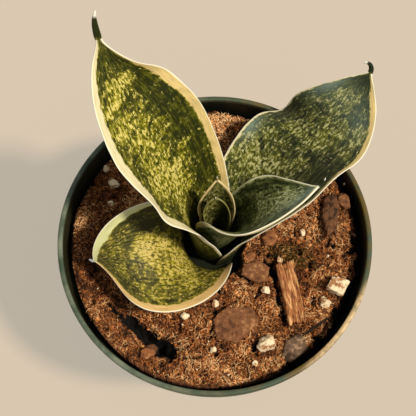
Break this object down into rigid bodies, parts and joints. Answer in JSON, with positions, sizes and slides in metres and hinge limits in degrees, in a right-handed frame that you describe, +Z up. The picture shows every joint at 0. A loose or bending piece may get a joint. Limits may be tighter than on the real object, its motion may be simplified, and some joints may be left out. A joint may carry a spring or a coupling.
{
  "type": "potted snake plant",
  "caption": "Low rosette of broad cream-edged succulent leaves growing in a round thin-walled plastic nursery pot of bark and perlite mix.",
  "frame": {"origin": "middle of the pot's base, on the surface it stands on", "axes": "+Z up; -Y towards the viewer; the tall leaf leans to -X and +Y, the broad leaf to +X and +Y"},
  "size_m": [0.152, 0.152, 0.2204],
  "materials": {
    "pot_plastic": "dark green moulded plastic, satin, dusty and scuffed at the lip",
    "potting_mix": "rough damp peat and coir",
    "leaf": "waxy succulent leaf, mottled dark and light green with cream margins",
    "bark": "rough dry bark",
    "perlite": "chalky porous white grains"
  },
  "bodies": {
    "root": {"bark_chip_back": "bark", "bark_chip_crown": "bark", "bark_flake_front": "bark", "bark_flake_large": "bark", "bark_nugget_right": "bark", "bark_nugget_rim": "bark", "bark_strip_right": "bark", "husk_nugget_left": "bark", "leaf_broad": "leaf", "leaf_cup": "leaf", "leaf_heart": "leaf", "leaf_low": "leaf", "leaf_tall": "leaf", "leaf_young": "leaf", "nursery_pot": "pot_plastic", "perlite_grain_01": "perlite", "perlite_grain_02": "perlite", "perlite_grain_03": "perlite", "perlite_grain_04": "perlite", "perlite_grain_05": "perlite", "perlite_grain_06": "perlite", "perlite_grain_07": "perlite", "perlite_grain_08": "perlite", "perlite_grain_09": "perlite", "perlite_grain_10": "perlite", "perlite_grain_11": "perlite", "perlite_grain_12": "perlite", "perlite_grain_13": "perlite", "potting_mix": "potting_mix", "wood_splinter": "bark"}
  },
  "joints": []
}
